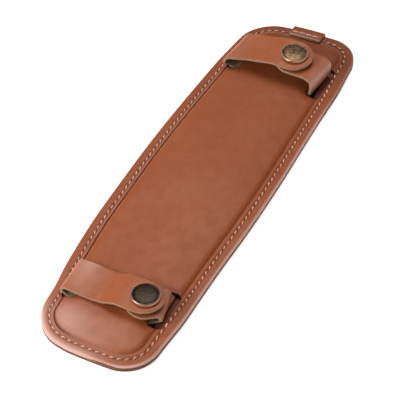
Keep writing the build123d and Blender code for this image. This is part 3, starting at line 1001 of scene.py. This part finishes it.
def sew(name, stitches, level, sign, radius, slant, proud, reach=1.14):
    """Stitches standing proud of the surface at height level, up or down by sign, each of half
    length reach and turned slant degrees off the line."""
    rng = np.random.RandomState(7)
    sunk = 0.42
    u = np.linspace(-1, 1, 13)
    height = level + sign * (-sunk + (sunk + proud) * (1 - np.abs(u) ** 3.0))
    verts, faces, total = [], [], 0
    for x, y, heading, _ in stitches:
        a = heading + math.radians(slant) * sign
        half = reach + rng.uniform(-0.06, 0.06)
        off = rng.uniform(-0.06, 0.06)
        px = x + u * half * math.cos(a) - off * math.sin(heading)
        py = y + u * half * math.sin(a) + off * math.cos(heading)
        v, f = thread_run(np.column_stack([px, py, height]), radius, phase=rng.uniform(0, 6))
        verts.append(v)
        faces += [tuple(i + total for i in q) for q in f]
        total += len(v)
    xyz = lie(np.concatenate(verts))
    return mesh_object(name, xyz, faces, {}, xyz)


tab_top = rim_top + tab_gap + tab_t
upper = sew("needle_thread_stitches", rim_stitches, level=rim_top - 0.20, sign=1,
            radius=0.34, slant=12.0, proud=0.20)
tab_sew = sew("end_tab_stitches", tab_stitches, level=tab_top - 0.08, sign=1,
              radius=0.42, slant=6.0, proud=0.26, reach=1.62)
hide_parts("needle_thread")
lower = sew("bobbin_thread_stitches", bobbin, level=0.40, sign=-1,
            radius=0.32, slant=5.0, proud=0.0)
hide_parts("bobbin_thread")


# ------------------------------------------------------------------ material tools
def srgb(r, g, b):
    def lin(c):
        c /= 255.0
        return c / 12.92 if c <= 0.04045 else ((c + 0.055) / 1.055) ** 2.4
    return (lin(r), lin(g), lin(b), 1.0)


class Look:
    """Short way to write a material's node tree."""

    def __init__(self, name):
        self.mat = bpy.data.materials.new(name)
        self.mat.use_nodes = True
        self.tree = self.mat.node_tree
        self.tree.nodes.clear()
        out = self.node("OutputMaterial")
        self.bsdf = self.node("BsdfPrincipled")
        self.set(out.inputs[0], self.bsdf.outputs[0])

    def node(self, kind):
        return self.tree.nodes.new("ShaderNode" + kind)

    def set(self, sock, val):
        if isinstance(val, bpy.types.NodeSocket):
            self.tree.links.new(val, sock)
        else:
            sock.default_value = val

    def attr(self, name, out="Fac"):
        n = self.node("Attribute")
        n.attribute_name = name
        return n.outputs[out]

    def object_place(self):
        return self.node("TexCoord").outputs["Object"]

    def vector(self, op, a, b):
        n = self.node("VectorMath")
        n.operation = op
        self.set(n.inputs[0], a)
        self.set(n.inputs["Scale" if op == "SCALE" else 1], b)
        return n.outputs[0]

    def mapped(self, place, freq):
        n = self.node("Mapping")
        self.set(n.inputs[0], place)
        n.inputs["Scale"].default_value = freq if isinstance(freq, tuple) else (freq,) * 3
        return n.outputs[0]

    def noise(self, place, freq, detail, rough):
        place = self.mapped(place, freq)
        n = self.node("TexNoise")
        self.set(n.inputs["Vector"], place)
        n.inputs["Scale"].default_value = 1.0
        n.inputs["Detail"].default_value = detail
        n.inputs["Roughness"].default_value = rough
        return n.outputs[0]

    def voronoi(self, place, freq):
        place = self.mapped(place, freq)
        n = self.node("TexVoronoi")
        self.set(n.inputs["Vector"], place)
        n.inputs["Scale"].default_value = 1.0
        return n.outputs[0]

    def math(self, op, a, b=0.0, clamp=False):
        n = self.node("Math")
        n.operation = op
        n.use_clamp = clamp
        self.set(n.inputs[0], a)
        self.set(n.inputs[1], b)
        return n.outputs[0]

    def ramp(self, value, over, to=(0.0, 1.0)):
        n = self.node("MapRange")
        n.interpolation_type = "SMOOTHSTEP"
        self.set(n.inputs[0], value)
        for k, v in enumerate(over + to):
            n.inputs[1 + k].default_value = v
        return n.outputs[0]

    def mix(self, share, a, b):
        n = self.node("Mix")
        n.data_type = "RGBA"
        self.set(n.inputs[0], share)
        self.set(n.inputs[6], a)
        self.set(n.inputs[7], b)
        return n.outputs[2]

    def fade(self, a, b, value, over, to=(0.0, 1.0)):
        """From a to b: the share of b goes through the to range as value crosses over."""
        return self.mix(self.ramp(value, over, to), a, b)

    def stain(self, col, name, shade):
        """Mixes in a shade by a per-point attribute."""
        return self.mix(self.math("MULTIPLY", self.attr(name), 1.0, clamp=True), col, shade)

    def bump(self, height, strength, distance, normal=None):
        n = self.node("Bump")
        n.inputs["Strength"].default_value = strength
        n.inputs["Distance"].default_value = distance
        self.set(n.inputs["Height"], height)
        if normal is not None:
            self.set(n.inputs["Normal"], normal)
        return n.outputs[0]

    def put(self, **inputs):
        for key, val in inputs.items():
            self.set(self.bsdf.inputs[key.replace("_", " ")], val)


# ------------------------------------------------------------------ materials
def leather(name, deep, mid, light, raw, raw_dark, flesh, rough, shift):
    """Smooth vegetable-tanned leather with cut edges and a flesh side."""
    m = Look(name)
    p = m.vector("ADD", m.attr("flat", "Vector"), shift)
    cloud = m.noise(p, freq=(0.026, 0.018, 0.0), detail=4.0, rough=0.6)
    mottle = m.noise(p, freq=(0.20, 0.13, 0.0), detail=6.0, rough=0.62)
    speck = m.noise(p, freq=(1.1, 1.1, 0.3), detail=4.0, rough=0.62)
    pores = m.voronoi(p, freq=(2.1, 2.1, 0.5))
    col = m.fade(mid, light, cloud, over=(0.30, 0.70))
    col = m.fade(col, deep, mottle, over=(0.38, 0.72), to=(0.0, 0.16))
    col = m.fade(col, deep, speck, over=(0.55, 0.80), to=(0.0, 0.12))
    col = m.fade(col, deep, pores, over=(0.0, 0.16), to=(0.14, 0.0))
    # painted shade from the dark attribute, and painted sheen and highlights in pale pink from a
    # second per-point attribute
    shade_colour = (deep[0] * 0.28, deep[1] * 0.20, deep[2] * 0.20, 1)
    col = m.stain(col, "dark", shade_colour)
    col = m.stain(col, "painted_sheen", srgb(226, 178, 162))
    # cut edges: fibres in layers
    fibre = m.noise(p, freq=(0.5, 0.5, 5.0), detail=4.0, rough=0.6)
    cut = m.fade(raw, raw_dark, fibre, over=(0.35, 0.68))
    edge = m.attr("edge")
    col = m.fade(col, cut, edge, over=(0.25, 0.75))
    # the flesh side's nap
    nap = m.noise(p, freq=0.9, detail=6.0, rough=0.7)
    flesh_dark = tuple(c * 0.72 for c in flesh[:3]) + (1,)
    back = m.fade(flesh, flesh_dark, nap, over=(0.3, 0.7))
    under = m.attr("under")
    col = m.fade(col, back, under, over=(0.4, 0.6))
    # cut and flesh faces are duller than the grain face
    face_rough = m.ramp(mottle, over=(0.2, 0.8), to=(rough - 0.05, rough + 0.10))
    duller = m.math("MULTIPLY", m.math("MAXIMUM", edge, under), 0.35)
    fine_grain = m.noise(p, freq=(1.35, 1.35, 0.4), detail=5.0, rough=0.62)
    broad = m.noise(p, freq=(0.22, 0.22, 0.1), detail=3.0, rough=0.5)
    normal = m.bump(broad, strength=0.10, distance=0.0008)
    normal = m.bump(fine_grain, strength=0.20, distance=0.00020, normal=normal)
    normal = m.bump(m.ramp(pores, over=(0.0, 0.22)), strength=0.16, distance=0.00010,
                    normal=normal)
    m.put(Base_Color=col, Roughness=m.math("ADD", face_rough, duller, clamp=True),
          Normal=normal, Specular_IOR_Level=0.26)
    return m.mat


def suede():
    m = Look("suede_side_look")
    p = m.attr("flat", "Vector")
    nap = m.noise(p, freq=(0.9, 0.9, 0.6), detail=8.0, rough=0.72)
    cloud = m.noise(p, freq=(0.035, 0.05, 0.0), detail=3.0, rough=0.5)
    hair = m.noise(p, freq=(3.5, 1.1, 1.0), detail=4.0, rough=0.6)
    col = m.fade(srgb(150, 104, 72), srgb(166, 120, 86), cloud, over=(0.3, 0.7))
    col = m.fade(col, srgb(118, 76, 50), nap, over=(0.35, 0.7), to=(0.0, 0.5))
    col = m.fade(col, srgb(190, 150, 116), hair, over=(0.5, 0.8), to=(0.0, 0.25))
    fibre = m.noise(p, freq=(0.5, 0.5, 5.0), detail=4.0, rough=0.6)
    cut = m.fade(srgb(112, 64, 44), srgb(70, 38, 28), fibre, over=(0.3, 0.7))
    col = m.fade(col, cut, m.attr("edge"), over=(0.2, 0.7))
    # painted shade inside the pad and in the bobbin holes
    col = m.stain(col, "dark", srgb(112, 46, 30))
    m.put(Base_Color=col, Roughness=0.92, Normal=m.bump(nap, strength=0.5, distance=0.0004),
          Specular_IOR_Level=0.2, Sheen_Weight=0.25, Sheen_Roughness=0.5)
    return m.mat


def foam_look():
    m = Look("foam_look")
    cells = m.voronoi(m.attr("flat", "Vector"), freq=1.8)
    col = m.fade(srgb(96, 92, 88), srgb(150, 146, 140), cells, over=(0.1, 0.7))
    # painted shade by the slots
    col = m.mix(m.attr("dark"), col, srgb(40, 20, 12))
    m.put(Base_Color=col, Roughness=0.95, Normal=m.bump(cells, strength=0.6, distance=0.0004),
          Specular_IOR_Level=0.15)
    return m.mat


def thread_look():
    m = Look("thread_look")
    p = m.attr("flat", "Vector")
    fibre = m.noise(p, freq=3.0, detail=4.0, rough=0.6)
    tone = m.noise(p, freq=0.18, detail=2.0, rough=0.5)
    col = m.fade(srgb(230, 178, 150), srgb(250, 210, 186), fibre, over=(0.3, 0.7))
    col = m.fade(col, srgb(196, 136, 104), tone, over=(0.35, 0.7), to=(0.0, 0.45))
    m.put(Base_Color=col, Roughness=0.62, Normal=m.bump(fibre, strength=0.35, distance=0.0001),
          Specular_IOR_Level=0.35, Sheen_Weight=0.2)
    return m.mat


def cap_look(loop, face_dark, face_light, rim):
    """Antique metal: dark in the hollows, worn bright on the rim."""
    m = Look(loop.name + "_cap_look")
    # mm from the cap's centre on top of the flap
    centre = (loop.snap_x * MM, loop.y * MM, (loop.flap_z + strap_t / 2) * MM)
    p = m.vector("SCALE", m.vector("SUBTRACT", m.object_place(), centre), 1000.0)
    xyz = m.node("SeparateXYZ")
    m.set(xyz.inputs[0], p)
    x, y = xyz.outputs[0], xyz.outputs[1]
    r = m.math("SQRT", m.math("ADD", m.math("MULTIPLY", x, x), m.math("MULTIPLY", y, y)))
    patina = m.noise(p, freq=0.55, detail=6.0, rough=0.65)
    scratch = m.noise(p, freq=(6.0, 0.7, 1.0), detail=3.0, rough=0.6)
    grain = m.noise(p, freq=3.0, detail=4.0, rough=0.6)
    face = m.fade(face_dark, face_light, patina, over=(0.35, 0.7))
    face = m.fade(face, rim, scratch, over=(0.62, 0.80), to=(0.0, 0.30))
    most = 0.95     # wear of the rim at its brightest
    worn = m.math("MULTIPLY", m.ramp(r, over=(6.75, 7.35)),
                  m.ramp(grain, over=(0.25, 0.6), to=(most * 0.6, most)), clamp=True)
    groove_r, groove_half = 6.1, 0.42
    off = m.math("ABSOLUTE", m.math("SUBTRACT", r, groove_r))
    groove = m.math("SUBTRACT", 1.0, m.ramp(off, over=(0.0, groove_half)), clamp=True)
    col = m.mix(m.math("MULTIPLY", groove, 0.35), m.mix(worn, face, rim), srgb(22, 16, 12))
    rough = m.math("ADD", m.ramp(patina, over=(0.2, 0.8), to=(0.30, 0.48)),
                   m.math("MULTIPLY", worn, -0.08))
    normal = m.bump(scratch, strength=0.06, distance=0.00006)
    m.put(Base_Color=col, Metallic=0.85, Roughness=rough,
          Normal=m.bump(grain, strength=0.10, distance=0.0001, normal=normal))
    return m.mat


def plain_metal(name, dark, light, rough, freq):
    m = Look(name)
    grain = m.noise(m.object_place(), freq=freq, detail=5.0, rough=0.6)
    m.put(Base_Color=m.fade(dark, light, grain, over=(0.3, 0.7)), Metallic=1.0,
          Roughness=m.ramp(grain, over=(0.2, 0.8), to=(rough - 0.06, rough + 0.12)),
          Normal=m.bump(grain, strength=0.15, distance=0.0001))
    return m.mat


def wear(ob, mat):
    ob.data.materials.clear()
    ob.data.materials.append(mat)


tan_look = leather(
    "tan_leather_look", deep=srgb(128, 56, 26), mid=srgb(161, 81, 42), light=srgb(168, 89, 48),
    raw=srgb(112, 62, 42), raw_dark=srgb(70, 38, 28), flesh=srgb(150, 108, 76),
    rough=0.42, shift=(0, 0, 0))
strap_look = leather(
    "strap_leather_look", deep=srgb(132, 62, 32), mid=srgb(166, 88, 50),
    light=srgb(175, 97, 58), raw=srgb(204, 168, 138), raw_dark=srgb(150, 122, 96),
    flesh=srgb(158, 122, 92), rough=0.40, shift=(310.0, 77.0, 5.0))
wear(top, tan_look)
wear(tab, strap_look)
for _, flap, tongue in straps:
    wear(flap, strap_look)
    wear(tongue, strap_look)
wear(base, suede())
wear(foam, foam_look())
stitch_look = thread_look()
for ob in (upper, tab_sew, lower):
    wear(ob, stitch_look)

# The two caps are one metal: the front one's darker face is painted shade and the rear one's
# lighter face painted light
wear(nodes["front_snap_cap"], cap_look(front, face_dark=srgb(38, 32, 24),
                                       face_light=srgb(62, 50, 38), rim=srgb(216, 170, 150)))
wear(nodes["rear_snap_cap"], cap_look(rear, face_dark=srgb(84, 64, 46),
                                      face_light=srgb(150, 118, 88), rim=srgb(220, 178, 146)))
inner_look = plain_metal("snap_inner_look", dark=srgb(120, 92, 62), light=srgb(168, 134, 92),
                         rough=0.36, freq=900.0)
spring_look = plain_metal("spring_wire_look", dark=srgb(150, 148, 142),
                          light=srgb(196, 194, 188), rough=0.28, freq=1500.0)
for name in ("front", "rear"):
    for part in ("_snap_socket", "_snap_stud", "_snap_post"):
        wear(nodes[name + part], inner_look)
    wear(nodes[name + "_snap_spring"], spring_look)

# ------------------------------------------------------------------ bodies
for ob in (top, base, foam, tab, upper, tab_sew, lower):
    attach(ob, "pad")
for loop, flap, tongue in straps:
    for ob, part, r in ((flap, "_flap", loop.left_r), (tongue, "_tongue", loop.right_r)):
        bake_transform(ob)

# ------------------------------------------------------------------ stage, metres
floor_look = Look("floor_look")
floor_look.put(Base_Color=(0.86, 0.86, 0.86, 1), Roughness=0.9, Specular_IOR_Level=0.1,
               Emission_Color=(1, 1, 1, 1), Emission_Strength=0.70)
floor_half, floor_z = 6.0, -0.0002
floor_mesh = bpy.data.meshes.new("floor")
floor_mesh.from_pydata([(x * floor_half, y * floor_half, floor_z)
                        for x, y in ((-1, -1), (1, -1), (1, 1), (-1, 1))], [], [(0, 1, 2, 3)])
floor = bpy.data.objects.new("floor", floor_mesh)
scene.collection.objects.link(floor)
wear(floor, floor_look.mat)

world = bpy.data.worlds.new("studio")
scene.world = world
world.use_nodes = True
background = world.node_tree.nodes["Background"]
background.inputs["Color"].default_value = (1.0, 1.0, 1.0, 1)
background.inputs["Strength"].default_value = 0.21


def softbox(name, loc, target, size, power):
    light = bpy.data.lights.new(name, "AREA")
    light.shape = "RECTANGLE"
    light.size, light.size_y = size
    light.energy = power
    ob = bpy.data.objects.new(name, light)
    scene.collection.objects.link(ob)
    ob.location = loc
    ob.rotation_euler = (Vector(target) - Vector(loc)).to_track_quat("-Z", "Y").to_euler()


softbox("key_back_left", loc=(-0.24, 0.47, 1.19), target=(0, 0, 0), size=(0.7, 0.7), power=8.0)
softbox("fill_near_left", loc=(-0.36, -0.46, 0.33), target=(0, -0.10, 0), size=(0.34, 0.30),
        power=2.7)

# The camera looks down at the target from the near right.
cam = bpy.data.cameras.new("camera")
cam.sensor_width = 36.0
cam.lens = 178.92
cam.clip_start, cam.clip_end = 0.05, 50.0
camera = bpy.data.objects.new("camera", cam)
scene.collection.objects.link(camera)
elev, turn, distance = math.radians(46.0), math.radians(26.84), 1.045
target = Vector((0.003817, -0.01071, 0.0))
eye = target + Vector((distance * math.cos(elev) * math.sin(turn),
                       -distance * math.cos(elev) * math.cos(turn), distance * math.sin(elev)))
ahead = (target - eye).normalized()
right = Vector((math.cos(turn), math.sin(turn), 0))
up = right.cross(ahead)
camera.matrix_world = Matrix((*zip(right, up, -ahead, eye), (0, 0, 0, 1)))
scene.camera = camera
scene.view_settings.view_transform = "Standard"

bpy.context.view_layer.update()
